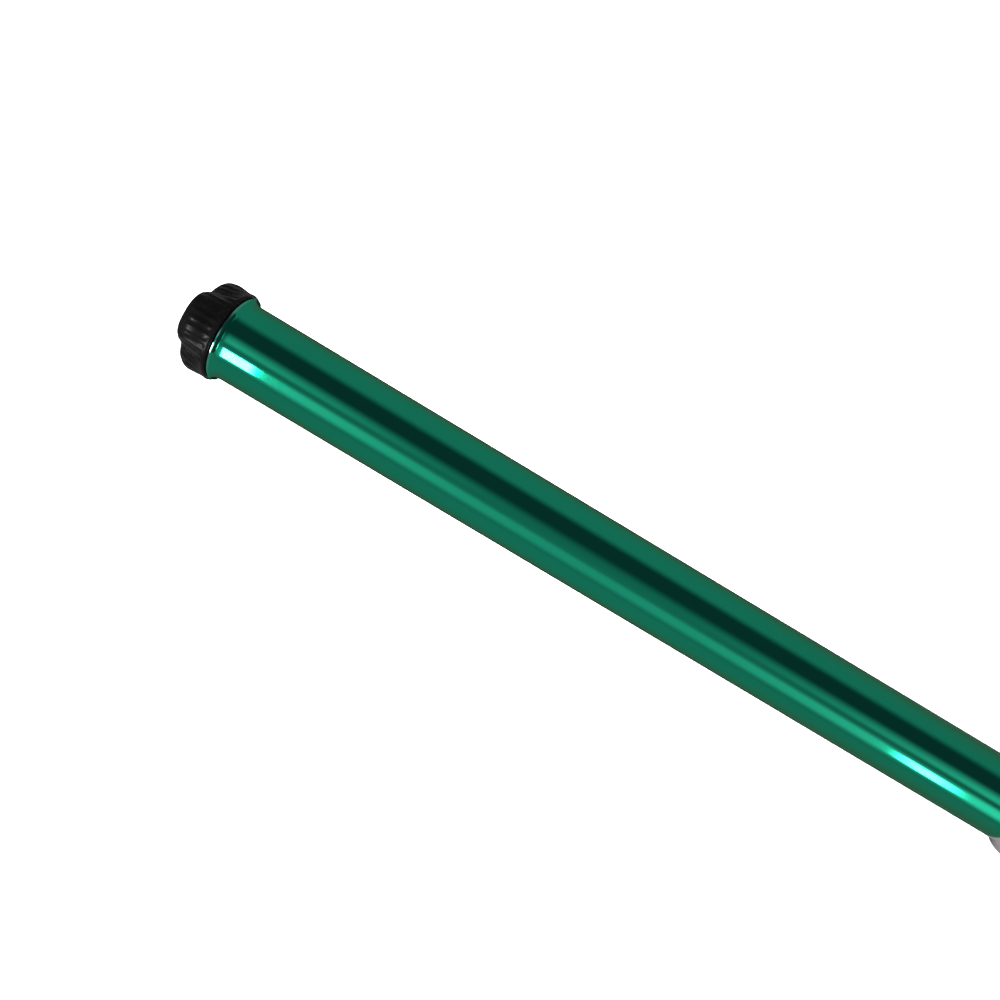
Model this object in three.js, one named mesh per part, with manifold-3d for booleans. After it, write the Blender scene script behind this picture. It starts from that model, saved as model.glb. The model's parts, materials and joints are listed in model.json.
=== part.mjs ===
// Slide-hammer post driver: a weighted tube slides on a rod and strikes a socketed drive head.
// Millimetres, +Z up, origin at the centre of the drive head's open mouth.

import * as THREE from 'three';
import Module from 'manifold-3d';

// ---- driving dimensions -------------------------------------------------------------------

const FIT = 0.3;                     // running and assembly clearance between touching pieces
const ROUND_FINE = 48;               // segments round the large visible pieces
const ROUND = 32;                    // segments round an ordinary turned piece
const ROUND_INNER = 24;              // segments round pieces sealed inside the tube
const ROUND_SMALL = 16;              // segments round pins, screws and their holes

const TUBE_R = 24.15;                // 48.3 mm hand-grip tube
const BORE_R = 21.25;                // 2.9 mm wall
const TUBE_Z0 = 118.5;
const TUBE_Z1 = 664;
const TUBE_END_ROUND = 1.2;
const TUBE_FLARE = [                 // radius and height up the flared rim that the cap sits on
  [TUBE_R, 655],
  [24.4, 657.4],
  [25.1, 659.4],
  [26.2, 660.9],
  [26.8, 661.9],
  [26.6, 662.6],
  [26.1, 662.9],
  [TUBE_R, 662.9],
];
const TUBE_TOP_CHAMFER = 0.6;
const RING_GROOVE = { z0: 494, z1: 497, r: 22.4 };

const HEAD_TOP = 90;
const HEAD_Z0 = 62.6;                // the drive head is bolted down onto the socket bell
const BELL_TOP = HEAD_Z0 - FIT;
const BELL_RIM_R = 43;
const SKIRT_R = 34;
const NECK_R = 24.9;
const SOCKET_R = 24.3;
const BELL_SCREW = { count: 6, circle: 29.6, r: 2.5, headR: 4, z0: 50.5, seat: 70.7, top: 75.5 };
const PAD_RING_GROOVE = { z0: 52.6, z1: 55.2, r: 25.7 };
const PIN_Z = 34;                    // height of the sleeve pin
const PIN_R = 3.3;
const PULL_RING = { r: 9, wire: 1.2, x: 39.2 };
const CROSS_PIN = { z: 82, r: 3, half: 24.4 };

const ROD_R = 12;
const ROD_TOP = 487;
const ROD_STEP = 457;
const ROD_STEP_R = 10.5;
const CIRCLIP = { z0: 475.4, z1: 477.6, seat: 9.2 };
const GUIDE = { z0: 461, z1: 470.6, seat: 18.2 };
const STOP_COLLAR_TOP = 475.1;

const COLLAR_Z0 = 98.3;
const COLLAR_TOP = TUBE_Z0 - FIT;
const COLLAR_LIP_R = 30;
const COLLAR_SPIGOT_TOP = 152;
const BUSH_R = 17;
const SCREW = { count: 3, r: 2.9, z: 112.5, inner: 15.7, outer: 23.7, hexFlat: 1.6, hexDepth: 3.2 };

const PLUG_TOP = 514.5;
const BUFFER_TOP = 521;
const WEIGHT = { count: 3, height: 31.7, pitch: 32, z0: BUFFER_TOP + FIT, r: 20.7, hole: 5 };
const SPRING = { z0: 617.4, z1: 644.8, r: 13.6, wire: 1.3, turns: 4.5 };

const INSERT_Z0 = 642;
const INSERT_FLANGE = { z0: TUBE_Z1 + FIT, z1: TUBE_Z1 + 1.5, r: 23.8 };
const INSERT_BORE = 17.8;
const CAP_Z0 = INSERT_FLANGE.z1 + FIT;
const CAP_SKIRT = { r: TUBE_R + 0.35, z: 663.2 };   // round skirt round the tube's end, above its flare
const CAP_STUB_R = 17.5;
const CAP_STUB_Z0 = 648;
const CAP_LOBES = 3;
const CAP_LOBE_BREADTH = 2.3;        // above 1: broad lobes and narrow valleys
const CAP_LOBE_START = -1.58;        // one lobe points close to -Y
const CROWN = {                      // the knob's rounded end, over a lobe
  steps: 6, r: 29.6, z: 676.8, round: 8, height: 8.6, valley: 7.6, valleyLoss: 1.6,
};
const CAP_SEAL = { z: 662.6, r: 16.2, wire: 1.1 };

// ---- finishes -----------------------------------------------------------------------------

const finish = (color, roughness, metalness) => {
  return new THREE.MeshStandardMaterial({ color, roughness, metalness });
};

const CANDY_GREEN = finish(0x0b7f5c, 0.22, 0.75);
const BLACK_CAP = finish(0x1b1b1c, 0.5, 0.0);
const ZINC = finish(0x97918f, 0.34, 0.95);
const BLACK_OXIDE = finish(0x2a2b2d, 0.42, 0.85);
const BRIGHT_STEEL = finish(0xb4b6b8, 0.22, 1.0);
const SPRING_STEEL = finish(0x55585c, 0.35, 1.0);
const CAST_WEIGHT = finish(0x4a4c4f, 0.6, 0.85);
const BRONZE = finish(0xa9793c, 0.38, 0.95);
const BLACK_RUBBER = finish(0x161616, 0.85, 0.0);
const AMBER_URETHANE = finish(0x9c5a1c, 0.45, 0.0);
const NYLON = finish(0xd9d5c8, 0.55, 0.0);

// ---- geometry helpers -----------------------------------------------------------------------

const wasm = await Module();
wasm.setup();

function meshFrom(vertices, triangles) {
  const geometry = new THREE.BufferGeometry();
  geometry.setAttribute('position', new THREE.Float32BufferAttribute(vertices, 3));
  geometry.setIndex(triangles);
  return geometry;
}

// The profile must run anticlockwise seen with the radius to the right and the height upwards.
function anticlockwise(profile) {
  let area = 0;
  profile.forEach((point, i) => {
    const next = profile[(i + 1) % profile.length];
    area += point[0] * next[1] - next[0] * point[1];
  });
  return area > 0 ? profile : [...profile].reverse();
}

// A solid of revolution about Z from a closed profile of [radius, height] points.
// The optional shape function gives each point its own radius at each angle.
function turned(profile, segments = ROUND, shape = (point) => point[0]) {
  const points = anticlockwise(profile);
  const vertices = [];
  const rows = points.map((point) => {
    const start = vertices.length / 3;
    if (point[0] === 0) {
      vertices.push(0, 0, point[1]);
      return () => start;
    }
    for (let i = 0; i < segments; i += 1) {
      const angle = (i / segments) * Math.PI * 2;
      const radius = shape(point, angle, i);
      vertices.push(radius * Math.cos(angle), radius * Math.sin(angle), point[1]);
    }
    return (i) => start + (i % segments);
  });
  const triangles = [];
  points.forEach((point, k) => {
    const next = (k + 1) % points.length;
    const onAxis = point[0] === 0;
    const nextOnAxis = points[next][0] === 0;
    if (onAxis && nextOnAxis) {
      return;
    }
    for (let i = 0; i < segments; i += 1) {
      const a = rows[k](i);
      const b = rows[k](i + 1);
      const c = rows[next](i + 1);
      const d = rows[next](i);
      if (!onAxis) {
        triangles.push(a, b, c);
      }
      if (!nextOnAxis) {
        triangles.push(a, c, d);
      }
    }
  });
  return meshFrom(vertices, triangles);
}

const disc = (r, z0, z1, edge = 0.6) => [
  [0, z0],
  [r - edge, z0],
  [r, z0 + edge],
  [r, z1 - edge],
  [r - edge, z1],
  [0, z1],
];

const collar = (inner, outer, z0, z1) => [
  [inner, z0],
  [outer, z0],
  [outer, z1],
  [inner, z1],
];

const sleeve = (inner, outer, z0, z1, edge = 0.4) => [
  [inner + edge, z0],
  [outer - edge, z0],
  [outer, z0 + edge],
  [outer, z1 - edge],
  [outer - edge, z1],
  [inner + edge, z1],
  [inner, z1 - edge],
  [inner, z0 + edge],
];

function torusProfile(r, wire, z, sides = 8) {
  const points = [];
  for (let i = 0; i < sides; i += 1) {
    const angle = (i / sides) * Math.PI * 2;
    points.push([r + wire * Math.cos(angle), z + wire * Math.sin(angle)]);
  }
  return points;
}

// A round wire following a list of points, closed at both ends.
function wireAlong(path, radius, sides = 6) {
  const vertices = [];
  const triangles = [];
  const last = path.length - 1;
  path.forEach((point, k) => {
    const before = path[Math.max(k - 1, 0)];
    const after = path[Math.min(k + 1, last)];
    const tangent = after.clone().sub(before).normalize();
    const side = new THREE.Vector3(point.x, point.y, 0).normalize();
    side.addScaledVector(tangent, -side.dot(tangent)).normalize();
    const up = tangent.clone().cross(side);
    for (let i = 0; i < sides; i += 1) {
      const angle = (i / sides) * Math.PI * 2;
      const rim = point.clone();
      rim.addScaledVector(side, radius * Math.cos(angle));
      rim.addScaledVector(up, radius * Math.sin(angle));
      vertices.push(rim.x, rim.y, rim.z);
    }
  });
  for (let k = 0; k < last; k += 1) {
    for (let i = 0; i < sides; i += 1) {
      const a = k * sides + i;
      const b = k * sides + ((i + 1) % sides);
      triangles.push(a, b, b + sides);
      triangles.push(a, b + sides, a + sides);
    }
  }
  const first = vertices.length / 3;
  vertices.push(...path[0].toArray(), ...path[last].toArray());
  for (let i = 0; i < sides; i += 1) {
    const next = (i + 1) % sides;
    triangles.push(first, next, i);
    triangles.push(first + 1, last * sides + i, last * sides + next);
  }
  return meshFrom(vertices, triangles);
}

function toSolid(geometry) {
  const vertProperties = new Float32Array(geometry.attributes.position.array);
  const triVerts = new Uint32Array(geometry.index.array);
  return new wasm.Manifold(new wasm.Mesh({ numProp: 3, vertProperties, triVerts }));
}

function fromSolid(solid) {
  const mesh = solid.getMesh();
  return meshFrom(Array.from(mesh.vertProperties), Array.from(mesh.triVerts));
}

function cut(geometry, ...cutters) {
  let solid = toSolid(geometry);
  cutters.forEach((cutter) => {
    solid = solid.subtract(toSolid(cutter));
  });
  return fromSolid(solid);
}

function join(geometry, ...others) {
  let solid = toSolid(geometry);
  others.forEach((other) => {
    solid = solid.add(toSolid(other));
  });
  return fromSolid(solid);
}

// Turns a piece built along Z so that Z points along +X, then round Z by the given angle.
function radial(geometry, angle = 0, z = 0) {
  geometry.rotateY(Math.PI / 2);
  geometry.rotateZ(angle);
  geometry.translate(0, 0, z);
  return geometry;
}

function block(x0, x1, y0, y1, z0, z1) {
  const outline = [[x0, y0], [x1, y0], [x1, y1], [x0, y1]];
  const vertices = [];
  [z0, z1].forEach((z) => outline.forEach(([x, y]) => vertices.push(x, y, z)));
  const triangles = [0, 2, 1, 0, 3, 2, 4, 5, 6, 4, 6, 7];
  for (let i = 0; i < 4; i += 1) {
    const next = (i + 1) % 4;
    triangles.push(i, next, next + 4);
    triangles.push(i, next + 4, i + 4);
  }
  return meshFrom(vertices, triangles);
}

const driver = new THREE.Group();
driver.name = 'post_driver';

function add(name, geometry, material) {
  geometry.computeVertexNormals();
  const mesh = new THREE.Mesh(geometry, material);
  mesh.name = name;
  driver.add(mesh);
}

// ---- drive head, with a bolted bell whose socket takes the post ------------------------------

const bellProfile = [
  [27, 0],
  [41.6, 0],
  [42.6, 0.6],
  [BELL_RIM_R, 1.8],
  [BELL_RIM_R, 7],
  [42.4, 8.6],
  [41, 9.4],
  [37.6, 10.2],
  [35.2, 11.6],
  [SKIRT_R, 14],
  [SKIRT_R, BELL_TOP],
  [SOCKET_R, BELL_TOP],
  [SOCKET_R, PAD_RING_GROOVE.z1],
  [PAD_RING_GROOVE.r, PAD_RING_GROOVE.z1],
  [PAD_RING_GROOVE.r, PAD_RING_GROOVE.z0],
  [SOCKET_R, PAD_RING_GROOVE.z0],
  [SOCKET_R, 3.6],
];
const headProfile = [
  [ROD_R + FIT, HEAD_Z0],
  [SKIRT_R, HEAD_Z0],
  [SKIRT_R, 69.8],
  [33.4, 70.4],
  [25.5, 70.4],
  [NECK_R, 71.2],
  [NECK_R, 89.4],
  [24.3, HEAD_TOP],
  [ROD_R + FIT, HEAD_TOP],
];

const pinHole = radial(turned(disc(PIN_R + FIT, 15, 50, 0.1), ROUND_SMALL), 0, PIN_Z);
const crossHole = radial(
  turned(disc(CROSS_PIN.r + FIT, -32, 32, 0.1), ROUND_SMALL),
  Math.PI / 2,
  CROSS_PIN.z,
);

function onScrewCircle(geometry, i) {
  const angle = ((i + 0.5) / BELL_SCREW.count) * Math.PI * 2;
  const { circle } = BELL_SCREW;
  return geometry.translate(circle * Math.cos(angle), circle * Math.sin(angle), 0);
}

const bellScrewHoles = [];
for (let i = 0; i < BELL_SCREW.count; i += 1) {
  const hole = turned(disc(BELL_SCREW.r + FIT, BELL_SCREW.z0 - 0.5, 80, 0.1), ROUND_SMALL);
  bellScrewHoles.push(onScrewCircle(hole, i));
  const blank = turned([
    [0, BELL_SCREW.z0],
    [BELL_SCREW.r, BELL_SCREW.z0],
    [BELL_SCREW.r, BELL_SCREW.seat],
    [BELL_SCREW.headR, BELL_SCREW.seat],
    [BELL_SCREW.headR, BELL_SCREW.top - 0.4],
    [BELL_SCREW.headR - 0.4, BELL_SCREW.top],
    [0, BELL_SCREW.top],
  ], ROUND_SMALL);
  const key = turned(disc(2.3, BELL_SCREW.top - 2.6, 80, 0.05), 6);
  add(`bell_screw_${i + 1}`, onScrewCircle(cut(blank, key), i), BLACK_OXIDE);
}
add('socket_bell', cut(turned(bellProfile, ROUND_FINE), pinHole, ...bellScrewHoles), BLACK_OXIDE);
add('drive_head', cut(turned(headProfile, ROUND_FINE), crossHole, ...bellScrewHoles), BLACK_OXIDE);

const crossPin = radial(
  turned(disc(CROSS_PIN.r, -CROSS_PIN.half, CROSS_PIN.half, 0.5), ROUND_SMALL),
  Math.PI / 2,
  CROSS_PIN.z,
);
add('rod_cross_pin', crossPin, ZINC);

// Hardened pad that meets the post's top, with a raised striking face.
add('anvil_pad', turned([
  [0, PAD_RING_GROOVE.z1 + FIT],
  [18.6, PAD_RING_GROOVE.z1 + FIT],
  [19.4, PAD_RING_GROOVE.z1 + 1.1],
  [SOCKET_R - 0.4, PAD_RING_GROOVE.z1 + 1.1],
  [SOCKET_R - 0.4, BELL_TOP - 0.6],
  [SOCKET_R - 1, BELL_TOP],
  [0, BELL_TOP],
]), BRIGHT_STEEL);

const padRing = cut(
  turned(collar(22.6, PAD_RING_GROOVE.r - 0.25, PAD_RING_GROOVE.z0 + 0.25, PAD_RING_GROOVE.z1 - 0.25)),
  block(-30, 0, -4, 4, 50, 58),
);
add('pad_snap_ring', padRing, SPRING_STEEL);

// Split reducing sleeve that centres a slim post in the socket.
const postSleeve = cut(
  turned(collar(20.4, SOCKET_R - FIT, 4.4, PAD_RING_GROOVE.z0 - 0.4)),
  block(-30, -10, -1.6, 1.6, 0, 60),
  pinHole,
);
add('post_sleeve', postSleeve, BRIGHT_STEEL);

// Sleeve pin with a round finger flange and a flat tab that carries the pull ring.
const pinProfile = [
  [0, 21.4],
  [2.5, 21.4],
  [PIN_R, 22.4],
  [PIN_R, 34.6],
  [6.2, 34.6],
  [6.6, 35],
  [6.6, 36.2],
  [6.2, 36.6],
  [0, 36.6],
];
const tabProfile = [[0, 36], [4.6, 36], [4.6, 38.6], [3.9, 40.8], [2.6, 41.9], [0, 41.9]];
const tabBlank = radial(turned(tabProfile, 24), 0, PIN_Z);
const tab = cut(
  tabBlank,
  block(30, 50, 2.5, 10, PIN_Z - 10, PIN_Z + 10),
  block(30, 50, -10, -2.5, PIN_Z - 10, PIN_Z + 10),
);
const ringHole = turned(disc(1.95, -8, 8, 0.1), ROUND_SMALL);
ringHole.rotateX(Math.PI / 2);
ringHole.translate(PULL_RING.x, 0, PIN_Z);
add('sleeve_pin', cut(join(radial(turned(pinProfile, 24), 0, PIN_Z), tab), ringHole), ZINC);

const pullRing = turned(torusProfile(PULL_RING.r, PULL_RING.wire, 0), 32);
pullRing.rotateY(Math.PI / 2);
pullRing.translate(PULL_RING.x, 0, PIN_Z - PULL_RING.r);
add('pull_ring', pullRing, ZINC);

// ---- drive rod and the parts it carries ---------------------------------------------------------

const rodProfile = [
  [0, HEAD_Z0 + FIT],
  [11.2, HEAD_Z0 + FIT],
  [ROD_R, HEAD_Z0 + 1.1],
  [ROD_R, ROD_STEP - 0.6],
  [ROD_R - 0.6, ROD_STEP],
  [ROD_STEP_R, ROD_STEP],
  [ROD_STEP_R, CIRCLIP.z0],
  [CIRCLIP.seat, CIRCLIP.z0],
  [CIRCLIP.seat, CIRCLIP.z1],
  [ROD_STEP_R, CIRCLIP.z1],
  [ROD_STEP_R, ROD_TOP - 1.4],
  [ROD_STEP_R - 1.4, ROD_TOP],
  [0, ROD_TOP],
];
add('drive_rod', cut(turned(rodProfile), crossHole), BRIGHT_STEEL);

add('shock_washer', turned([
  [ROD_R + FIT, HEAD_TOP + FIT],
  [24.6, HEAD_TOP + FIT],
  [26, 91.6],
  [26.4, 94.2],
  [26, 96.8],
  [24.6, COLLAR_Z0 - FIT],
  [ROD_R + FIT, COLLAR_Z0 - FIT],
]), AMBER_URETHANE);

add('rod_stop_collar', turned([
  [ROD_STEP_R + FIT, ROD_STEP + FIT],
  [19.2, ROD_STEP + FIT],
  [20.2, ROD_STEP + 1.3],
  [20.2, GUIDE.z0 - FIT],
  [GUIDE.seat, GUIDE.z0 - FIT],
  [GUIDE.seat, GUIDE.z1 + FIT],
  [20.2, GUIDE.z1 + FIT],
  [20.2, STOP_COLLAR_TOP - 1],
  [19.2, STOP_COLLAR_TOP],
  [ROD_STEP_R + FIT, STOP_COLLAR_TOP],
]), BLACK_OXIDE);
const guideRing = cut(
  turned(collar(GUIDE.seat + FIT, BORE_R - FIT, GUIDE.z0, GUIDE.z1)),
  block(10, 30, -0.6, 0.6, GUIDE.z0 - 5, GUIDE.z1 + 5),
);
add('rod_guide_ring', guideRing, NYLON);

const circlip = cut(
  turned(collar(CIRCLIP.seat + 0.25, 14, CIRCLIP.z0 + 0.25, CIRCLIP.z1 - 0.25), ROUND_INNER),
  block(0, 20, -3.4, 3.4, CIRCLIP.z0 - 5, CIRCLIP.z1 + 5),
);
add('rod_circlip', circlip, SPRING_STEEL);

// ---- hammer: tube, flared mouth collar and bearing ------------------------------------------------

add('hammer_tube', turned([
  [BORE_R + 0.5, TUBE_Z0],
  [TUBE_R - TUBE_END_ROUND, TUBE_Z0],
  [TUBE_R, TUBE_Z0 + TUBE_END_ROUND],
  ...TUBE_FLARE,
  [TUBE_R, TUBE_Z1 - TUBE_TOP_CHAMFER],
  [TUBE_R - TUBE_TOP_CHAMFER, TUBE_Z1],
  [BORE_R + 0.5, TUBE_Z1],
  [BORE_R, TUBE_Z1 - 0.5],
  [BORE_R, RING_GROOVE.z1],
  [RING_GROOVE.r, RING_GROOVE.z1],
  [RING_GROOVE.r, RING_GROOVE.z0],
  [BORE_R, RING_GROOVE.z0],
  [BORE_R, TUBE_Z0 + 0.5],
], ROUND_FINE), CANDY_GREEN);

const screwAngles = [];
for (let i = 0; i < SCREW.count; i += 1) {
  screwAngles.push(((i + 0.5) / SCREW.count) * Math.PI * 2);
}
const screwHoles = screwAngles.map((angle) => {
  return radial(turned(disc(SCREW.r + FIT, 15.3, 34, 0.1), ROUND_SMALL), angle, SCREW.z);
});

const mouthCollar = turned([
  [BUSH_R + FIT, COLLAR_Z0],
  [28.6, COLLAR_Z0],
  [29.6, 98.9],
  [COLLAR_LIP_R, 100],
  [COLLAR_LIP_R, 101.4],
  [29.4, 102.6],
  [28, 103.8],
  [26.1, 105.9],
  [24.8, 108.8],
  [24.3, 111.6],
  [24.2, COLLAR_TOP],
  [20.5, COLLAR_TOP],
  [20.5, COLLAR_TOP + 1.9],
  [BORE_R - FIT, COLLAR_TOP + 2.5],
  [BORE_R - FIT, COLLAR_SPIGOT_TOP - 0.7],
  [20.2, COLLAR_SPIGOT_TOP],
  [BUSH_R + FIT, COLLAR_SPIGOT_TOP],
], ROUND_FINE);
add('mouth_collar', cut(mouthCollar, ...screwHoles), ZINC);

const guideBush = turned(collar(ROD_R + FIT, BUSH_R, 103.4, COLLAR_SPIGOT_TOP - FIT));
add('guide_bush', cut(guideBush, ...screwHoles), BRONZE);

add('wiper_seal', turned([
  [13.6, COLLAR_Z0 + FIT],
  [16.6, COLLAR_Z0 + FIT],
  [BUSH_R, 99],
  [BUSH_R, 102.7],
  [16.6, 103.1],
  [13.8, 103.1],
  [13, 101.6],
  [ROD_R + 0.2, 100.4],
  [ROD_R + 0.2, 99.4],
]), BLACK_RUBBER);

screwAngles.forEach((angle, i) => {
  const blank = turned(disc(SCREW.r, SCREW.inner, SCREW.outer, 0.5), ROUND_SMALL);
  const key = turned(disc(SCREW.hexFlat * 1.155, SCREW.outer - SCREW.hexDepth, 40, 0.05), 6);
  add(`set_screw_${i + 1}`, radial(cut(blank, key), angle, SCREW.z), BLACK_OXIDE);
});

add('rebound_bumper', turned([
  [ROD_R + 0.8, COLLAR_SPIGOT_TOP + FIT],
  [20.4, COLLAR_SPIGOT_TOP + FIT],
  [20.4, 164.4],
  [ROD_R + 0.8, 164.4],
], ROUND_INNER), BLACK_RUBBER);

// ---- hammer: bulkhead, ballast and spring ----------------------------------------------------------

const bulkheadRing = cut(
  turned(collar(18.2, RING_GROOVE.r - 0.25, RING_GROOVE.z0 + 0.25, RING_GROOVE.z1 - 0.25)),
  block(-30, 0, -4, 4, RING_GROOVE.z0 - 5, RING_GROOVE.z1 + 5),
);
add('bulkhead_ring', bulkheadRing, SPRING_STEEL);
const plug = disc(BORE_R - FIT, RING_GROOVE.z1 + 0.1, PLUG_TOP, 1);
add('bulkhead_plug', turned(plug, ROUND_INNER), BLACK_OXIDE);
const buffer = disc(20.6, PLUG_TOP + FIT, BUFFER_TOP, 1);
add('buffer_disc', turned(buffer, ROUND_INNER), BLACK_RUBBER);
for (let i = 0; i < WEIGHT.count; i += 1) {
  const z0 = WEIGHT.z0 + i * WEIGHT.pitch;
  const profile = sleeve(WEIGHT.hole, WEIGHT.r, z0, z0 + WEIGHT.height, 1);
  add(`ballast_weight_${i + 1}`, turned(profile, ROUND_INNER), CAST_WEIGHT);
}

// Coil spring with closed end turns.
const coil = [];
const coilSteps = Math.round(SPRING.turns * 18);
for (let i = 0; i <= coilSteps; i += 1) {
  const angle = (i / coilSteps) * SPRING.turns * Math.PI * 2;
  const low = SPRING.z0 + SPRING.wire;
  const rise = SPRING.z1 - SPRING.z0 - SPRING.wire * 2;
  const z = low + (i / coilSteps) * rise;
  coil.push(new THREE.Vector3(SPRING.r * Math.cos(angle), SPRING.r * Math.sin(angle), z));
}
add('ballast_spring', wireAlong(coil, SPRING.wire), SPRING_STEEL);

// ---- screw cap at the top of the hammer ----------------------------------------------------------------

add('thrust_washer', turned(collar(5, 16.8, SPRING.z1 + FIT, CAP_STUB_Z0 - FIT), ROUND_INNER), BRIGHT_STEEL);

add('threaded_insert', turned([
  [INSERT_BORE, INSERT_Z0],
  [BORE_R - FIT, INSERT_Z0],
  [BORE_R - FIT, INSERT_FLANGE.z0],
  [INSERT_FLANGE.r, INSERT_FLANGE.z0],
  [INSERT_FLANGE.r, INSERT_FLANGE.z1 - 0.3],
  [INSERT_FLANGE.r - 0.3, INSERT_FLANGE.z1],
  [INSERT_BORE, INSERT_FLANGE.z1],
], ROUND_FINE), BLACK_OXIDE);

add('cap_seal', turned(torusProfile(CAP_SEAL.r, CAP_SEAL.wire, CAP_SEAL.z, 8), 32), BLACK_RUBBER);

// Each point of the knob carries the depth there of the valleys between the lobes.
const capProfile = [
  [0, CAP_STUB_Z0, 0],
  [CAP_STUB_R, CAP_STUB_Z0, 0],
  [CAP_STUB_R, CAP_SEAL.z - 1.5, 0],
  [CAP_SEAL.r - 1.3, CAP_SEAL.z - 1.5, 0],
  [CAP_SEAL.r - 1.3, CAP_SEAL.z + 1.5, 0],
  [CAP_STUB_R, CAP_SEAL.z + 1.5, 0],
  [CAP_STUB_R, CAP_Z0, 0],
  [CAP_SKIRT.r, CAP_Z0, 0],
  [CAP_SKIRT.r, CAP_SKIRT.z, 0],
  [27, CAP_SKIRT.z, 0],
  [27.9, CAP_SKIRT.z + 0.5, 0],
  [28.2, CAP_SKIRT.z + 1.4, 0.1],
  [28.2, 666.2, 0.6],
  [28.4, 668.8, 2.2],
  [28.9, 671.4, 4.4],
  [29.4, 674.2, 6.6],
];
for (let i = 0; i <= CROWN.steps; i += 1) {
  const turn = (i / CROWN.steps) * (Math.PI / 2);
  const inset = 1 - Math.cos(turn);
  capProfile.push([
    CROWN.r - CROWN.round * inset,
    CROWN.z + CROWN.height * Math.sin(turn),
    CROWN.valley - CROWN.valleyLoss * inset,
  ]);
}
const CAP_TOP = CROWN.z + CROWN.height;
capProfile.push([12.6, CAP_TOP, 0.8], [11.6, CAP_TOP - 0.9, 0.5], [0, CAP_TOP - 1.1, 0]);

const lobed = ([radius, , valley], angle) => {
  const between = (1 - Math.cos(CAP_LOBES * (angle - CAP_LOBE_START))) / 2;
  return radius - valley * between ** CAP_LOBE_BREADTH;
};
add('end_cap', turned(capProfile, ROUND_FINE, lobed), BLACK_CAP);

export default driver;
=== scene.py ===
import json
import math

import bpy
from mathutils import Matrix, Vector


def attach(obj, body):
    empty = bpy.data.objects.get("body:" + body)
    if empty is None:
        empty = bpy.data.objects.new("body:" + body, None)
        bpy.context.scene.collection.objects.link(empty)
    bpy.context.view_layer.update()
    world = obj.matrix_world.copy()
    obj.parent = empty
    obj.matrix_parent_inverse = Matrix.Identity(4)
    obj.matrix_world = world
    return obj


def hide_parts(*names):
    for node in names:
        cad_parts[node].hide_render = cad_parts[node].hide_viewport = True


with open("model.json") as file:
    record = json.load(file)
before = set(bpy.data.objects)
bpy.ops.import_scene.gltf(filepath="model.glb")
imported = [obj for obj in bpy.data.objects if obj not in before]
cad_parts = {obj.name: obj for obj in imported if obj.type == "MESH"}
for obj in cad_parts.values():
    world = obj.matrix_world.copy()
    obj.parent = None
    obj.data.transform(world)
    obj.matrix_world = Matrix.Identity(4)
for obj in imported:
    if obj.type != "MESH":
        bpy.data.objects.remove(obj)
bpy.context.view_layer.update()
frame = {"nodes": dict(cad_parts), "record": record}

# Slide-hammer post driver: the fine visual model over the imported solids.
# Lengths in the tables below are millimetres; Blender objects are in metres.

record = frame["record"]
slot_of = {row["node"]: row["material_slot"] for row in record["subparts"]}
body_of = {
    node: body
    for body, members in record["behaviour"]["bodies"].items()
    for node in members
}

MM = 0.001
TAU = math.tau
FINE = 192                 # segments round the large visible pieces
MEDIUM = 128
SMALL = 48
SHARP = math.radians(32)   # edges steeper than this stay crisp
FILLET_STEPS = 5
LONGEST_RUN = 5.0          # straight runs of an outline that is cut later are split to this
WAVE_RADIANS = 20.0        # a wave texture runs through this many radians per unit of its scale

TUBE_R = 24.15
BORE_R = 21.25
TUBE_END_ROUND = 2.0
TUBE_Z0 = 118.5
TUBE_Z1 = 664.0
PAINTED_RIM_HIGHLIGHT_TOP = (TUBE_Z1 - 3.0, TUBE_Z1 - 1.8)    # from full lacquer colour to a painted highlight on the rounded end
PAINTED_RIM_HIGHLIGHT_FOOT = (TUBE_Z0 + 2.6, TUBE_Z0 + 1.0)
SPIGOT_R = 20.95            # insert and collar where they sit in the tube
BULKHEAD_GROOVE_R = 22.4
BULKHEAD_GROOVE_Z = (494.0, 497.0)
ROD_R = 12.0
PIN_Z = 34.0
CROSS_PIN_Z = 82.0
SCREW_Z = 112.5
SCREW_ANGLES = [math.radians(a) for a in (60, 180, 300)]
CAP_Z0 = 665.8              # the knob's underside, inside its skirt
CAP_SKIRT_Z = 663.2         # rim of the round skirt that laps over the tube's end
CAP_SKIRT_BORE = 24.5
SOCKET_R = 24.3             # bore of the socket bell
HEAD_BORE_R = 12.3          # bore of the drive head and of the washer on it
HEAD_R = 24.9
HEAD_Z = (62.6, 90.0)
HEAD_FLANGE_TOP = 70.4
BELL_R = 34.0
BELL_FLANGE_R = 43.0
BELL_TOP = 62.3
PAD_GROOVE_R = 25.7
PAD_GROOVE_Z = (52.6, 55.2)
SLEEVE_R = 24.0             # split sleeve for slim posts
SLEEVE_BORE_R = 20.4
SLEEVE_Z = (4.4, 52.2)
PIN_HOLE_R = 3.6            # sleeve pin's hole through bell and sleeve
CROSS_PIN_HOLE_R = 3.3
PULL_RING_R = 9.0
PULL_RING_WIRE_R = 1.2
RING_HOLE_X = 39.2          # where the pull ring hangs in the sleeve pin's tab


# ---- materials -----------------------------------------------------------------------

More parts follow.
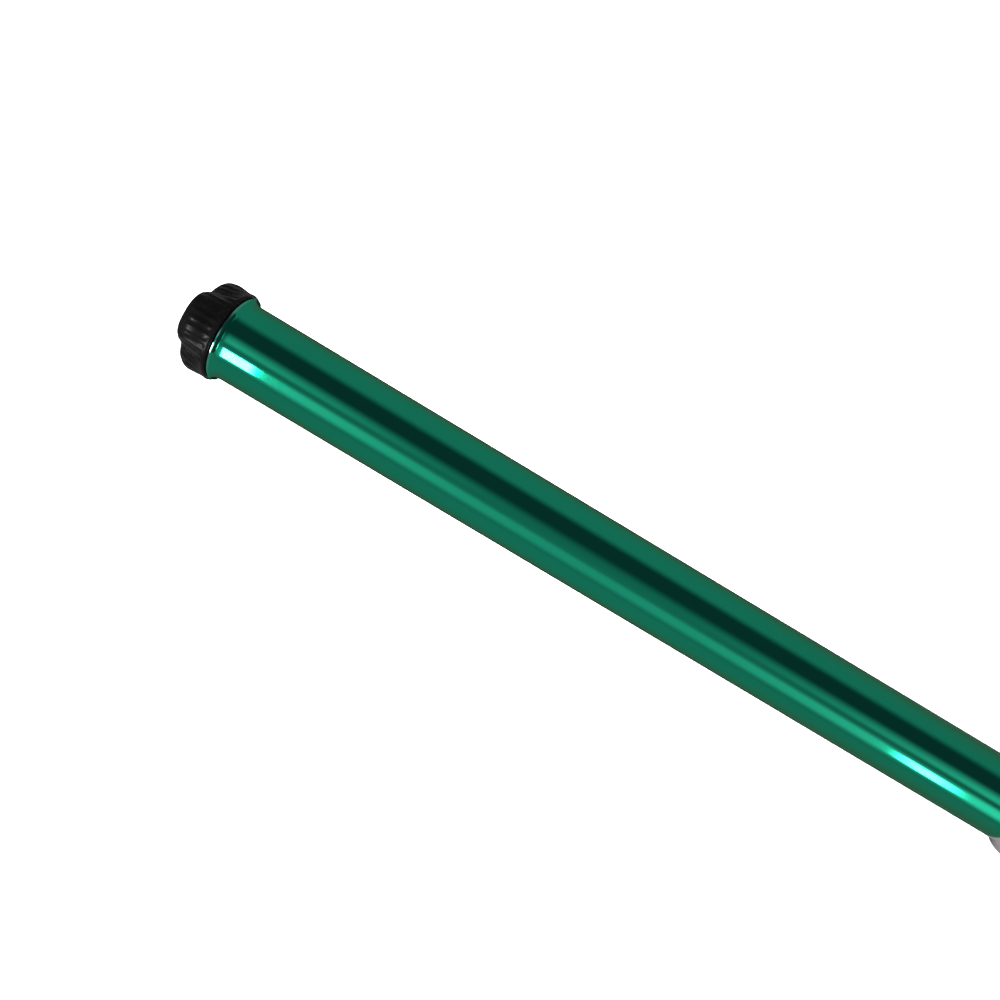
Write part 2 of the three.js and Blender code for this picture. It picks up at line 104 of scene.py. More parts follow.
class Paint:
    """A Principled material with its node tree at hand."""

    def __init__(self, name, **sockets):
        self.material = bpy.data.materials.new(name)
        self.material.use_nodes = True
        self.tree = self.material.node_tree
        self.shader = self.tree.nodes["Principled BSDF"]
        self.coords = self.tree.nodes.new("ShaderNodeTexCoord").outputs["Object"]
        for socket, value in sockets.items():
            self.shader.inputs[socket.replace("_", " ")].default_value = value

    def node(self, kind, inputs=(), **settings):
        node = self.tree.nodes.new(kind)
        for name, value in settings.items():
            setattr(node, name, value)
        for name, value in dict(inputs).items():
            if isinstance(value, bpy.types.NodeSocket):
                self.tree.links.new(value, node.inputs[name])
            else:
                node.inputs[name].default_value = value
        return node

    def stretched(self, x, y, z):
        """The object's coordinates, scaled along each axis (in features per metre)."""
        mapping = self.node("ShaderNodeMapping", {"Vector": self.coords, "Scale": (x, y, z)})
        return mapping.outputs["Vector"]

    def noise(self, vector, scale=1.0, detail=3.0, roughness=0.5):
        node = self.node(
            "ShaderNodeTexNoise",
            {"Vector": vector, "Scale": scale, "Detail": detail, "Roughness": roughness},
        )
        return node.outputs["Fac"]

    def cells(self, vector, scale=1.0, feature="F1"):
        node = self.node("ShaderNodeTexVoronoi", {"Vector": vector, "Scale": scale}, feature=feature)
        return node.outputs["Distance"]

    def remap(self, value, low, high, to_low, to_high):
        node = self.node(
            "ShaderNodeMapRange",
            {"Value": value, "From Min": low, "From Max": high, "To Min": to_low, "To Max": to_high},
        )
        return node.outputs["Result"]

    def maths(self, operation, a, b=0.0):
        return self.node("ShaderNodeMath", {0: a, 1: b}, operation=operation).outputs["Value"]

    def mixed(self, factor, dark, light):
        node = self.node("ShaderNodeMix", {"Factor": factor}, data_type="RGBA")
        for index, value in ((6, dark), (7, light)):
            if isinstance(value, bpy.types.NodeSocket):
                self.tree.links.new(value, node.inputs[index])
            else:
                node.inputs[index].default_value = (*value, 1.0)
        return node.outputs[2]

    def rings(self, radians_per_metre):
        """Turning marks: fine rings stacked along the axis."""
        node = self.node(
            "ShaderNodeTexWave",
            {
                "Vector": self.coords,
                "Scale": radians_per_metre / WAVE_RADIANS,
                "Distortion": 0.6,
                "Detail": 2.0,
                "Detail Scale": 1.4,
            },
            wave_type="BANDS",
            bands_direction="Z",
        )
        return node.outputs["Fac"]

    def bump(self, height, distance, strength=1.0, below=None):
        inputs = {"Height": height, "Distance": distance, "Strength": strength}
        if below is not None:
            inputs["Normal"] = below
        return self.node("ShaderNodeBump", inputs).outputs["Normal"]

    def wire(self, value, socket):
        self.tree.links.new(value, self.shader.inputs[socket])

    def worn_edges(self, low=0.52, high=0.58):
        """One on outside edges broken up by noise, nought elsewhere."""
        pointiness = self.node("ShaderNodeNewGeometry").outputs["Pointiness"]
        edge = self.remap(pointiness, low, high, 0.0, 1.0)
        patches = self.remap(self.noise(self.coords, 140.0, 4.0), 0.42, 0.6, 0.0, 1.0)
        return self.maths("MULTIPLY", edge, patches)


def candy_green():
    """Transparent green lacquer over bright flake, with a painted highlight: paler colour over the rounded
    edges at both ends of the tube.
    """
    paint = Paint(
        "candy_green", Metallic=1.0, Specular_Tint=(0.1, 0.36, 0.29, 1.0),
        Coat_Weight=0.2, Coat_Roughness=0.02, Coat_IOR=1.5,
    )
    flake = paint.cells(paint.stretched(2600, 2600, 2600))
    depth = paint.noise(paint.stretched(22, 22, 5), 1.0, 3.0)
    shade = paint.mixed(
        paint.remap(depth, 0.3, 0.7, 0.0, 1.0), (0.0018, 0.235, 0.13), (0.0026, 0.262, 0.15)
    )
    sparkle = paint.remap(flake, 0.0, 0.9, 0.0, 0.15)
    lacquer = paint.mixed(sparkle, shade, (0.006, 0.36, 0.22))
    height = paint.node("ShaderNodeSeparateXYZ", {"Vector": paint.coords}).outputs["Z"]
    # painted highlight: a paler colour painted on both rounded ends of the tube, where the lights would
    # gleam
    upper = paint.remap(height, *(z * MM for z in PAINTED_RIM_HIGHLIGHT_TOP), 0.0, 1.0)
    lower = paint.remap(height, *(z * MM for z in PAINTED_RIM_HIGHLIGHT_FOOT), 0.0, 1.0)
    painted_rim_highlight = paint.maths("MAXIMUM", upper, lower)
    paint.wire(paint.mixed(painted_rim_highlight, lacquer, (0.09, 0.36, 0.26)), "Base Color")
    scuffs = paint.noise(paint.stretched(900, 900, 60), 1.0, 4.0)
    haze = paint.noise(paint.coords, 35.0, 4.0)
    rough = paint.maths(
        "ADD", paint.remap(scuffs, 0.55, 0.85, 0.0, 0.03), paint.remap(haze, 0.3, 0.7, 0.045, 0.065)
    )
    paint.wire(rough, "Roughness")
    grain = paint.bump(flake, 0.000006, 0.2)
    peel = paint.noise(paint.coords, 420.0, 1.5)
    paint.wire(paint.bump(peel, 0.000004, 0.25, grain), "Normal")
    paint.wire(paint.bump(peel, 0.000004, 0.1), "Coat Normal")
    return paint.material


def black_cap():
    """Fine-grained black moulding, greyer where hands rub the ribs."""
    paint = Paint("black_cap", Specular_IOR_Level=0.045, IOR=1.4)
    cloud = paint.noise(paint.coords, 60.0, 4.0)
    body = paint.mixed(
        paint.remap(cloud, 0.3, 0.7, 0.0, 1.0), (0.0018, 0.0018, 0.0019), (0.0032, 0.0032, 0.0034)
    )
    paint.wire(paint.mixed(paint.worn_edges(0.53, 0.62), body, (0.01, 0.01, 0.0103)), "Base Color")
    grain = paint.cells(paint.coords, 2400.0)
    paint.wire(paint.remap(cloud, 0.3, 0.7, 0.2, 0.27), "Roughness")
    paint.wire(paint.bump(grain, 0.00002, 0.3), "Normal")
    return paint.material


def machined(name, dark, light, rough, ring_depth=0.000006, worn=None):
    """Turned metal: fine ring marks, cloudy tone and soft smudges."""
    paint = Paint(name, Metallic=1.0)
    cloud = paint.noise(paint.coords, 45.0, 5.0, 0.6)
    speck = paint.noise(paint.coords, 900.0, 2.0)
    clouded = paint.remap(cloud, 0.25, 0.75, 0.0, 0.7)
    tone = paint.maths("ADD", clouded, paint.remap(speck, 0.3, 0.7, 0.0, 0.3))
    colour = paint.mixed(tone, dark, light)
    roughness = paint.remap(cloud, 0.25, 0.75, rough[0], rough[1])
    if worn is not None:
        edges = paint.worn_edges()
        colour = paint.mixed(edges, colour, worn)
        roughness = paint.maths("SUBTRACT", roughness, paint.maths("MULTIPLY", edges, 0.12))
    paint.wire(colour, "Base Color")
    paint.wire(roughness, "Roughness")
    turned_marks = paint.bump(paint.rings(2600.0), ring_depth, 0.5)
    paint.wire(paint.bump(speck, 0.000004, 0.3, turned_marks), "Normal")
    return paint.material


def elastic(name, dark, light, rough, **sockets):
    """Moulded rubber, urethane or nylon with a faint skin texture."""
    paint = Paint(name, **sockets)
    cloud = paint.noise(paint.coords, 80.0, 4.0)
    paint.wire(paint.mixed(paint.remap(cloud, 0.3, 0.7, 0.0, 1.0), dark, light), "Base Color")
    paint.wire(paint.remap(cloud, 0.3, 0.7, rough[0], rough[1]), "Roughness")
    paint.wire(paint.bump(paint.noise(paint.coords, 1500.0, 3.0), 0.00004, 0.3), "Normal")
    return paint.material


MATERIALS = {
    "candy_green": candy_green(),
    "black_cap": black_cap(),
    "zinc": machined("zinc", (0.40, 0.38, 0.385), (0.56, 0.545, 0.55), (0.26, 0.38)),
    "black_oxide": machined(
        "black_oxide", (0.018, 0.018, 0.02), (0.045, 0.045, 0.048), (0.34, 0.5), worn=(0.34, 0.34, 0.35),
    ),
    "bright_steel": machined("bright_steel", (0.48, 0.48, 0.49), (0.66, 0.66, 0.67), (0.14, 0.24)),
    "spring_steel": machined("spring_steel", (0.12, 0.12, 0.13), (0.24, 0.24, 0.25), (0.3, 0.42)),
    "cast_weight": machined(
        "cast_weight", (0.06, 0.06, 0.062), (0.14, 0.14, 0.145), (0.45, 0.6), ring_depth=0.00002,
    ),
    "bronze": machined("bronze", (0.34, 0.19, 0.06), (0.55, 0.34, 0.13), (0.28, 0.4)),
    "black_rubber": elastic("black_rubber", (0.009, 0.009, 0.009), (0.02, 0.02, 0.02), (0.6, 0.8)),
    "amber_urethane": elastic(
        "amber_urethane", (0.36, 0.13, 0.018), (0.5, 0.2, 0.03), (0.28, 0.4),
        Coat_Weight=0.3, Subsurface_Weight=0.25, Subsurface_Scale=0.004,
    ),
    "nylon": elastic("nylon", (0.6, 0.57, 0.49), (0.74, 0.71, 0.63), (0.4, 0.55)),
}


# ---- mesh helpers --------------------------------------------------------------------

def rounded(corners):
    """A closed outline of (radius, height, fillet) corners with each fillet drawn as an arc."""
    outline = []
    count = len(corners)
    for i, (r, z, fillet) in enumerate(corners):
        here = Vector((r, z))
        before = Vector(corners[i - 1][:2])
        after = Vector(corners[(i + 1) % count][:2])
        if fillet <= 0:
            outline.append(tuple(here))
            continue
        into, out = (before - here).normalized(), (after - here).normalized()
        half = into.angle(out) / 2
        reach = min(fillet / math.tan(half), 0.48 * (before - here).length, 0.48 * (after - here).length)
        start, end = here + into * reach, here + out * reach
        for k in range(FILLET_STEPS + 1):
            t = k / FILLET_STEPS
            outline.append(tuple(start.lerp(here, t).lerp(here.lerp(end, t), t)))
    return outline


def stepped(outline):
    """The same outline with its long runs split, so that later cuts shade cleanly."""
    points = []
    for i, here in enumerate(outline):
        after = outline[(i + 1) % len(outline)]
        length = math.dist(here[:2], after[:2])
        pieces = 1 if here[0] == after[0] == 0 else max(1, math.ceil(length / LONGEST_RUN))
        for k in range(pieces):
            points.append(tuple(a + (b - a) * k / pieces for a, b in zip(here, after)))
    return points


def smoothed(points, steps=4):
    """A finer run of points through the given ones, by Catmull-Rom."""
    fine = []
    for i in range(len(points) - 1):
        a, b, c, d = (points[max(0, min(i + k, len(points) - 1))] for k in (-1, 0, 1, 2))
        for k in range(steps):
            t = k / steps
            fine.append(tuple(
                q + 0.5 * t * (r - p + t * (2 * p - 5 * q + 4 * r - s + t * (3 * (q - r) + s - p)))
                for p, q, r, s in zip(a, b, c, d)
            ))
    return fine + [tuple(points[-1])]


def outward(outline):
    """The outline run so that its faces look out of the solid."""
    area = sum(
        a[0] * b[1] - b[0] * a[1] for a, b in zip(outline, outline[1:] + outline[:1])
    )
    return outline if area > 0 else outline[::-1]


def build(name, vertices, faces, smooth=True):
    """An object from vertices in millimetres."""
    mesh = bpy.data.meshes.new(name)
    mesh.from_pydata([Vector(v) * MM for v in vertices], [], faces)
    mesh.validate()
    if smooth:
        mesh.shade_smooth()
        mesh.set_sharp_from_angle(angle=SHARP)
    piece = bpy.data.objects.new(name, mesh)
    bpy.context.scene.collection.objects.link(piece)
    return piece


def turned(name, outline, segments=MEDIUM, shape=None):
    """A solid of revolution about Z. shape(point, angle) may give the radius at each angle."""
    outline = outward(outline)
    vertices, rows, faces = [], [], []
    for point in outline:
        start = len(vertices)
        if point[0] == 0:
            vertices.append((0, 0, point[1]))
            rows.append([start] * segments)
            continue
        for i in range(segments):
            angle = i / segments * TAU
            radius = shape(point, angle) if shape else point[0]
            vertices.append((radius * math.cos(angle), radius * math.sin(angle), point[1]))
        rows.append(list(range(start, start + segments)))
    for k, row in enumerate(rows):
        after = rows[(k + 1) % len(rows)]
        on_axis, after_on_axis = outline[k][0] == 0, outline[(k + 1) % len(rows)][0] == 0
        if on_axis and after_on_axis:
            continue
        for i in range(segments):
            j = (i + 1) % segments
            corners = [row[i], row[j], after[j], after[i]]
            if on_axis:
                corners = [row[i], after[j], after[i]]
            if after_on_axis:
                corners = [row[i], row[j], after[i]]
            faces.append(corners)
    return build(name, vertices, faces)


def round_section(centre_r, centre_z, radius, count=20):
    """The outline of a round wire bent to a ring about Z."""
    return [
        (centre_r + radius * math.cos(i / count * TAU), centre_z + radius * math.sin(i / count * TAU))
        for i in range(count)
    ]


def reshaped(piece, matrix):
    piece.data.transform(matrix)
    piece.data.update()
    return piece


def radial(piece, angle=0.0, height=0.0):
    """Turns a piece made along Z to point along +X, then round the axis, and lifts it."""
    spin = Matrix.Rotation(angle, 4, "Z") @ Matrix.Rotation(math.pi / 2, 4, "Y")
    return reshaped(piece, Matrix.Translation((0, 0, height * MM)) @ spin)


def joined(name, pieces):
    """Several separate shells in one mesh."""
    vertices, faces = [], []
    for piece in pieces:
        offset = len(vertices)
        vertices += [v.co / MM for v in piece.data.vertices]
        faces += [[offset + i for i in polygon.vertices] for polygon in piece.data.polygons]
        bpy.data.objects.remove(piece)
    return build(name, vertices, faces)


def cut(piece, cutters, operation="DIFFERENCE"):
    """Boolean of piece with each cutter; the cutters are used up."""
    for cutter in cutters:
        modifier = piece.modifiers.new("cut", "BOOLEAN")
        modifier.operation = operation
        modifier.solver = "EXACT"
        modifier.object = cutter
    bpy.context.view_layer.update()
    evaluated = piece.evaluated_get(bpy.context.evaluated_depsgraph_get())
    mesh = bpy.data.meshes.new_from_object(evaluated)
    piece.modifiers.clear()
    piece.data = mesh
    mesh.shade_smooth()
    mesh.set_sharp_from_angle(angle=SHARP)
    for cutter in cutters:
        bpy.data.objects.remove(cutter)
    return piece


def box_cutter(low, high):
    corners = [(x, y, z) for z in (low[2], high[2]) for y in (low[1], high[1]) for x in (low[0], high[0])]
    faces = [(0, 2, 3, 1), (4, 5, 7, 6), (0, 1, 5, 4), (1, 3, 7, 5), (3, 2, 6, 7), (2, 0, 4, 6)]
    return build("cutter", corners, faces, smooth=False)


def drill(radius, inner, outer, angle, height, lip=0.0, surface=0.0):
    """A radial hole cutter; lip is the chamfer where the hole meets a surface of that radius."""
    outline = [(0, inner), (radius, inner)]
    if lip > 0:
        outline += [(radius, surface - lip), (radius + lip * 2.2, surface + lip * 1.2)]
    outline += [(radius + lip * 2.2, outer), (0, outer)]
    return radial(turned("cutter", outline, SMALL), angle, height)


def finish(piece, node, *also):
    """Puts a piece on its node's body, in its node's finish, in place of the node."""
    slot = slot_of[node]
    piece.data.materials.clear()
    piece.data.materials.append(MATERIALS[slot])
    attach(piece, body_of[node])
    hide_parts(node, *also)


# ---- hammer tube, flared at its upper end where the cap sits -------------------------

TUBE_FLARE = [  # radius, height
    (TUBE_R, 656.8),
    (24.25, 658.4),
    (24.7, 659.8),
    (25.7, 660.8),
    (26.6, 661.6),
    (26.75, 662.1),
    (26.6, 662.6),
    (26.1, 662.9),
]
TUBE_KEEP_STRAIGHT = 4.0   # rings this far from both ends keep the long side shaded straight

tube = turned("hammer_tube_body", rounded(
    [
        (BORE_R, TUBE_Z0, 0.5),
        (TUBE_R, TUBE_Z0, TUBE_END_ROUND),
        (TUBE_R, TUBE_Z0 + TUBE_KEEP_STRAIGHT, 0.0),
        (TUBE_R, TUBE_FLARE[0][1] - TUBE_KEEP_STRAIGHT, 0.0),
    ]
    + [(r, z, 0.0) for r, z in smoothed(TUBE_FLARE)]
    + [
        (TUBE_R, TUBE_FLARE[-1][1], 0.0),
        (TUBE_R, TUBE_Z1, 0.6),
        (BORE_R, TUBE_Z1, 0.5),
        (BORE_R, BULKHEAD_GROOVE_Z[1], 0.0),
        (BULKHEAD_GROOVE_R, BULKHEAD_GROOVE_Z[1], 0.0),
        (BULKHEAD_GROOVE_R, BULKHEAD_GROOVE_Z[0], 0.0),
        (BORE_R, BULKHEAD_GROOVE_Z[0], 0.0),
    ]
), FINE)
finish(tube, "hammer_tube")


# ---- screw cap -----------------------------------------------------------------------

CAP_LOBES = 3
CAP_LOBE_START = -1.58             # one lobe points close to -Y
CAP_BREADTH = 2.3                  # above 1: broad lobes and narrow valleys
CAP_RIBS = 39
RIB_DEPTH = 0.45
GROOVE_SHAPE = 0.7                 # below 1: narrow ribs and broad grooves
RIB_START_Z = 665.0                # the grooves sink to full depth over RIB_RUN_IN
RIB_RUN_IN = 2.0
RIB_END_TURN = 1.15                # and fade out round the crown, before this angle
RIB_RUN_OUT = 0.5
POINTS_PER_RIB = 16
CAP_FLANK = [  # radius over a lobe, height, depth of the valleys
    (27.9, 663.7, 0.0),
    (28.2, 664.6, 0.1),
    (28.2, 666.2, 0.6),
    (28.4, 668.8, 2.2),
    (28.9, 671.4, 4.4),
    (29.4, 674.2, 6.6),
    (29.6, 676.8, 7.6),
]
CROWN_ROUND = 8.0                  # the end edge is rounded over this much of the radius
CROWN_HEIGHT = 8.6
CROWN_VALLEY_LOSS = 1.6
CROWN_STEPS = 14
CROWN_DISH = [  # radius, height from the crown's top, depth of the valleys
    (17.0, 0.0, 3.2),
    (13.4, 0.0, 1.0),
    (12.6, -0.2, 0.8),
    (12.0, -0.7, 0.6),
    (11.2, -1.0, 0.5),
    (6.0, -1.1, 0.0),
]
STUB_R = 17.5
STUB_Z0 = 648.0
SEAL_Z = 662.6
SEAL_R = 16.2
SEAL_CORD_R = 1.1
SEAL_GROOVE_R = 14.9
THREAD_PITCH = 2.5
THREAD_Z = (649.4, 659.2)          # middle of the ridge where it starts and ends
THREAD_ROOT_R = 16.4
THREAD_STEPS_PER_TURN = 96
THREAD_TAPER_STEPS = 20
THREAD_SECTION = [(16.5, -0.95), (STUB_R, -0.3), (STUB_R, 0.3), (16.5, 0.95)]


def cap_radius(point, angle):
    """The knob's radius at an angle: the valleys between its lobes, and the grooves between its ribs."""
    radius, _, valley, rib = point
    if valley == 0 and rib == 0:
        return radius
    between = ((1 - math.cos(CAP_LOBES * (angle - CAP_LOBE_START))) / 2) ** CAP_BREADTH
    ripple = (0.5 - 0.5 * math.cos(CAP_RIBS * angle)) ** GROOVE_SHAPE
    return radius - valley * between - RIB_DEPTH * rib * ripple


def cap_outline():
    """The plain stub, then the knob from its underside over the lobes to the dished end."""
    stub = [
        (0.0, STUB_Z0 + 3.0),
        (11.5, STUB_Z0 + 3.0),
        (12.0, STUB_Z0),
        (16.3, STUB_Z0),
        (16.7, STUB_Z0 + 0.6),
        (16.7, SEAL_Z - 1.5),
        (SEAL_GROOVE_R, SEAL_Z - 1.5),
        (SEAL_GROOVE_R, SEAL_Z + 1.5),
        (STUB_R, SEAL_Z + 1.5),
        (STUB_R, CAP_Z0),
        (CAP_SKIRT_BORE, CAP_Z0),
        (CAP_SKIRT_BORE, CAP_SKIRT_Z + 0.3),
        (CAP_SKIRT_BORE + 0.3, CAP_SKIRT_Z),
        (27.1, CAP_SKIRT_Z),
        (27.6, CAP_SKIRT_Z + 0.15),
    ]
    knob = []
    for radius, height, valley in smoothed(CAP_FLANK):
        rib = min(1.0, max(0.0, (height - RIB_START_Z) / RIB_RUN_IN))
        knob.append((radius, height, max(valley, 0.0), rib))
    top_radius, top_height, top_valley = CAP_FLANK[-1]
    for k in range(1, CROWN_STEPS + 1):
        turn = k / CROWN_STEPS * math.pi / 2
        inset = 1 - math.cos(turn)
        rib = min(1.0, max(0.0, (RIB_END_TURN - turn) / RIB_RUN_OUT))
        knob.append((
            top_radius - CROWN_ROUND * inset,
            top_height + CROWN_HEIGHT * math.sin(turn),
            top_valley - CROWN_VALLEY_LOSS * inset,
            rib,
        ))
    top = top_height + CROWN_HEIGHT
    knob += [(r, top + z, max(valley, 0.0), 0.0) for r, z, valley in smoothed(CROWN_DISH)]
    centre = (0.0, top + CROWN_DISH[-1][1], 0.0, 0.0)
    return [(r, z, 0.0, 0.0) for r, z in stub] + knob + [centre]


def thread_ridge():
    """A helical ridge round the stub, tapered to nothing at both ends."""
    turns = (THREAD_Z[1] - THREAD_Z[0]) / THREAD_PITCH
    steps = round(turns * THREAD_STEPS_PER_TURN)
    vertices, faces = [], []
    for k in range(steps + 1):
        angle = k / THREAD_STEPS_PER_TURN * TAU
        fade = min(1.0, k / THREAD_TAPER_STEPS, (steps - k) / THREAD_TAPER_STEPS)
        for r, z in THREAD_SECTION:
            radius = THREAD_ROOT_R + (r - THREAD_ROOT_R) * fade
            height = THREAD_Z[0] + THREAD_PITCH * k / THREAD_STEPS_PER_TURN + z
            vertices.append((radius * math.cos(angle), radius * math.sin(angle), height))
    corners = len(THREAD_SECTION)
    for k in range(steps):
        here, after = corners * k, corners * (k + 1)
        for i in range(corners):
            j = (i + 1) % corners
            faces.append((here + i, after + i, after + j, here + j))
    first_end = tuple(range(corners))
    faces += [first_end, tuple(corners * steps + i for i in reversed(first_end))]
    return build("thread", vertices, faces)


knob = turned("knob", cap_outline(), CAP_RIBS * POINTS_PER_RIB, cap_radius)
finish(joined("end_cap_knob", [knob, thread_ridge()]), "end_cap")

finish(turned("cap_seal_body", round_section(SEAL_R, SEAL_Z, SEAL_CORD_R), MEDIUM), "cap_seal")


# ---- threaded insert, whose flange sits on the tube's end inside the cap's skirt -----

INSERT_BORE_R = 17.8
INSERT_FLANGE_R = 23.8
INSERT_Z = (642.0, 665.5)
INSERT_FLANGE_Z = 664.3
insert = turned("threaded_insert_body", rounded([
    (INSERT_BORE_R, INSERT_Z[0], 0.4),
    (SPIGOT_R, INSERT_Z[0], 0.4),
    (SPIGOT_R, INSERT_FLANGE_Z, 0.0),
    (INSERT_FLANGE_R, INSERT_FLANGE_Z, 0.2),
    (INSERT_FLANGE_R, INSERT_Z[1], 0.3),
    (INSERT_BORE_R, INSERT_Z[1], 0.5),
]), FINE)
finish(insert, "threaded_insert")


# ---- mouth collar --------------------------------------------------------------------

COLLAR_R = 24.2
COLLAR_BORE_R = 17.3
COLLAR_RIM_R = 30.0
COLLAR_Z = (98.3, 152.0)
COLLAR_SHOULDER_Z = 118.2
SPIGOT_RELIEF_R = 20.5
SET_SCREW_HOLE_R = 3.2
COLLAR_FLARE = [  # radius, height
    (COLLAR_RIM_R, 100.0),
    (29.6, 100.9),
    (28.4, 101.9),
    (26.5, 103.3),
    (25.0, 105.4),
    (24.4, 108.2),
    (COLLAR_R, 111.5),
]
collar = turned("mouth_collar_body", stepped(rounded(
    [(COLLAR_BORE_R, COLLAR_Z[0], 0.5), (COLLAR_RIM_R, COLLAR_Z[0], 1.3)]
    + [(r, z, 0.0) for r, z in smoothed(COLLAR_FLARE, 5)]
    + [
        (COLLAR_R, COLLAR_SHOULDER_Z, 0.35),
        (SPIGOT_RELIEF_R, COLLAR_SHOULDER_Z, 0.0),
        (SPIGOT_RELIEF_R, COLLAR_SHOULDER_Z + 1.9, 0.0),
        (SPIGOT_R, COLLAR_SHOULDER_Z + 2.5, 0.2),
        (SPIGOT_R, COLLAR_Z[1], 0.7),
        (COLLAR_BORE_R, COLLAR_Z[1], 0.4),
    ]
)), FINE)
cut(collar, [drill(SET_SCREW_HOLE_R, 15.3, 34.0, a, SCREW_Z, 0.3, COLLAR_R) for a in SCREW_ANGLES])
finish(collar, "mouth_collar")


def set_screw(name, angle):
    """A grub screw with a hexagon socket in its outer end."""
    blank = turned("screw", rounded([
        (0, 15.7, 0), (2.0, 15.7, 0), (2.9, 16.6, 0.2), (2.9, 23.7, 0.5), (0, 23.7, 0),
    ]), SMALL)
    key = turned("cutter", [(0, 20.5), (1.85, 20.5), (1.85, 23.4), (2.15, 24.0), (2.15, 26), (0, 26)], 6)
    return radial(joined(name, [cut(blank, [key])]), angle, SCREW_Z)


for index, angle in enumerate(SCREW_ANGLES):
    finish(set_screw(f"set_screw_{index + 1}_body", angle), f"set_screw_{index + 1}")


# ---- wiper seal and shock washer -----------------------------------------------------

finish(turned("wiper_seal_body", rounded([
    (13.6, 98.6, 0.2), (17.0, 98.6, 0.4), (17.0, 103.1, 0.4), (13.8, 103.1, 0.2),
    (13.0, 101.6, 0.2), (12.2, 100.4, 0.15), (12.2, 99.4, 0.15),
]), FINE), "wiper_seal")

finish(turned("shock_washer_body", rounded([
    (HEAD_BORE_R, 90.3, 0.4), (25.0, 90.3, 1.2), (26.4, 94.15, 1.5), (25.0, 98.0, 1.2),
    (HEAD_BORE_R, 98.0, 0.4),
]), FINE), "shock_washer")


# ---- drive head and the socket bell bolted under it ----------------------------------

bell = turned("socket_bell_body", stepped(rounded([
    (27.0, 0.0, 0.6),
    (BELL_FLANGE_R, 0.0, 1.6),
    (BELL_FLANGE_R, 9.0, 1.6),
    (38.2, 10.2, 3.0),
    (BELL_R, 12.0, 3.0),
    (BELL_R, BELL_TOP, 0.5),
    (SOCKET_R, BELL_TOP, 0.3),
    (SOCKET_R, PAD_GROOVE_Z[1], 0.0),
    (PAD_GROOVE_R, PAD_GROOVE_Z[1], 0.0),
    (PAD_GROOVE_R, PAD_GROOVE_Z[0], 0.0),
    (SOCKET_R, PAD_GROOVE_Z[0], 0.0),
    (SOCKET_R, 3.4, 0.5),
])), FINE)
head = turned("drive_head_body", stepped(rounded([
    (HEAD_BORE_R, HEAD_Z[0], 0.4),
    (BELL_R, HEAD_Z[0], 0.5),
    (BELL_R, HEAD_FLANGE_TOP, 1.0),
    (HEAD_R, HEAD_FLANGE_TOP, 0.6),
    (HEAD_R, HEAD_Z[1], 0.9),
    (HEAD_BORE_R, HEAD_Z[1], 0.4),
])), FINE)


def upright(piece, radius, angle):
    """Moves a piece made on the axis out to a radius."""
    place = Vector((radius * math.cos(angle), radius * math.sin(angle), 0)) * MM
    return reshaped(piece, Matrix.Translation(place))


BELL_SCREWS = [math.radians(a) for a in range(30, 360, 60)]
BELL_SCREW_CIRCLE = 29.6
KNURLS = 36
KNURL_DEPTH = 0.07
KNURL_FROM_R = 3.9     # only the side of the head is knurled


def bell_screw_hole(angle):
    hole = turned("cutter", [(0, 50), (2.8, 50), (2.8, 80), (0, 80)], SMALL)
    return upright(hole, BELL_SCREW_CIRCLE, angle)


def knurled_radius(point, angle):
    depth = KNURL_DEPTH if point[0] > KNURL_FROM_R else 0.0
    return point[0] - depth * (0.5 - 0.5 * math.cos(KNURLS * angle))


def bell_screw(name, angle):
    """A socket-head screw: knurled head with a hexagon socket."""
    blank = turned("screw", rounded([
        (0, 50.5, 0), (2.5, 50.5, 0.5), (2.5, 70.7, 0.0), (4.0, 70.7, 0.2), (4.0, 75.5, 0.6), (0, 75.5, 0),
    ]), KNURLS * 4, knurled_radius)
    key = turned("cutter", [(0, 72.9), (2.3, 72.9), (2.3, 75.2), (2.6, 75.7), (2.6, 78), (0, 78)], 6)
    return upright(joined(name, [cut(blank, [key])]), BELL_SCREW_CIRCLE, angle)


pin_hole = drill(PIN_HOLE_R, 15.0, 50.0, 0.0, PIN_Z, 0.35, 33.8)
cut(bell, [pin_hole] + [bell_screw_hole(a) for a in BELL_SCREWS])
finish(bell, "socket_bell")
cross_pin_hole = drill(CROSS_PIN_HOLE_R, -32.0, 32.0, math.pi / 2, CROSS_PIN_Z)
cut(head, [cross_pin_hole] + [bell_screw_hole(a) for a in BELL_SCREWS])
finish(head, "drive_head")
for index, angle in enumerate(BELL_SCREWS):
    finish(bell_screw(f"bell_screw_{index + 1}_body", angle), f"bell_screw_{index + 1}")

finish(radial(turned("rod_cross_pin_body", rounded([
    (0, -24.4, 0), (3.0, -24.4, 0.6), (3.0, 24.4, 0.6), (0, 24.4, 0),
]), SMALL), math.pi / 2, CROSS_PIN_Z), "rod_cross_pin")

finish(turned("anvil_pad_body", rounded([
    (0, 55.5, 0), (19.0, 55.5, 0.7), (19.4, 56.3, 0.2), (23.9, 56.3, 0.4), (23.9, 62.3, 0.6), (0, 62.3, 0),
]), MEDIUM), "anvil_pad")

snap_ring = turned("pad_snap_ring_body", rounded([
    (22.6, 52.85, 0.3), (25.45, 52.85, 0.2), (25.45, 54.95, 0.2), (22.6, 54.95, 0.3),
]), FINE)
cut(snap_ring, [box_cutter((-30, -4, 50), (0, 4, 58))])
finish(snap_ring, "pad_snap_ring")

post_sleeve = turned("post_sleeve_body", rounded([
    (SLEEVE_BORE_R, SLEEVE_Z[0], 0.9), (SLEEVE_R, SLEEVE_Z[0], 0.5),
    (SLEEVE_R, SLEEVE_Z[1], 0.5), (SLEEVE_BORE_R, SLEEVE_Z[1], 0.5),
]), FINE)
cut(post_sleeve, [
    box_cutter((-30, -1.6, 0), (-10, 1.6, 60)),
    drill(PIN_HOLE_R, 15.0, 50.0, 0.0, PIN_Z),
])
finish(post_sleeve, "post_sleeve")

